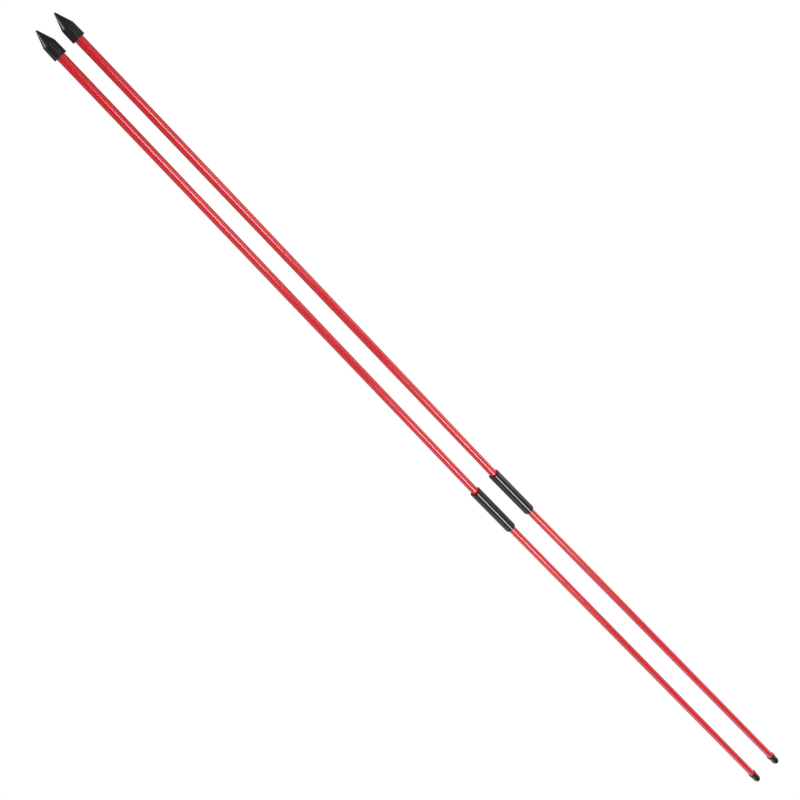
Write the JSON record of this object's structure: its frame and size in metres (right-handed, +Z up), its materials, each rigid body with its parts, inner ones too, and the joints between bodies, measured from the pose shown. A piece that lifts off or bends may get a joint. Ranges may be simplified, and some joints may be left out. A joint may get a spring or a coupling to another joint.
{
  "type": "golf alignment sticks",
  "caption": "Slender red golf alignment sticks side by side on the ground, with black pointed tips, joining sleeves at mid length over an elastic inner cord, and domed rubber end caps.",
  "frame": {"origin": "the middle of the pair's footprint on the ground", "axes": "+X along stick 1's rear section from its cap towards its point, +Z up, so stick 1 is on the +Y side and stick 2 on the -Y side"},
  "size_m": [1.219, 0.0446, 0.012],
  "materials": {
    "rod": "glossy red pultruded glass fibre",
    "tip_plastic": "satin black moulded plastic",
    "ferrule_plastic": "glossy black moulded plastic",
    "cap_rubber": "soft satin black rubber",
    "cord": "braided sheath over a rubber core",
    "washer": "plain zinc-plated"
  },
  "bodies": {
    "stick1_rear": {"stick1_rear_tube": "rod", "stick1_ferrule": "ferrule_plastic", "stick1_end_cap": "cap_rubber", "stick1_rear_washer": "washer", "stick1_shock_cord": "cord"},
    "stick1_cord_end": {"stick1_front_washer": "washer"},
    "stick1_front": {"stick1_front_tube": "rod", "stick1_tip": "tip_plastic"},
    "stick2_rear": {"stick2_rear_tube": "rod", "stick2_ferrule": "ferrule_plastic", "stick2_end_cap": "cap_rubber", "stick2_rear_washer": "washer", "stick2_shock_cord": "cord"},
    "stick2_cord_end": {"stick2_front_washer": "washer"},
    "stick2_front": {"stick2_front_tube": "rod", "stick2_tip": "tip_plastic"}
  },
  "joints": [
    {"name": "stick1_pull", "type": "slide", "parent": "stick1_rear", "child": "stick1_cord_end", "axis": [0.9999, -0.0128, 0], "range_m": [0, 0.06], "stiffness_N_per_m": 60, "springref_m": -0.15, "deforming": ["stick1_shock_cord"]},
    {"name": "stick1_twist", "type": "hinge", "parent": "stick1_cord_end", "child": "stick1_front", "pos_m": [0.3095, 0.01262, 0.00599], "axis": [0.9999, -0.0128, 0], "continuous": true},
    {"name": "stick2_gap", "type": "slide", "parent": "stick1_rear", "child": "stick2_rear", "axis": [0, -1, 0], "range_m": [-0.006, 0.6]},
    {"name": "stick2_pull", "type": "slide", "parent": "stick2_rear", "child": "stick2_cord_end", "axis": [1, -0.0009, 0], "range_m": [0, 0.06], "stiffness_N_per_m": 60, "springref_m": -0.15, "deforming": ["stick2_shock_cord"]},
    {"name": "stick2_twist", "type": "hinge", "parent": "stick2_cord_end", "child": "stick2_front", "pos_m": [0.30948, -0.0104, 0.00599], "axis": [1, -0.0009, 0], "continuous": true}
  ]
}
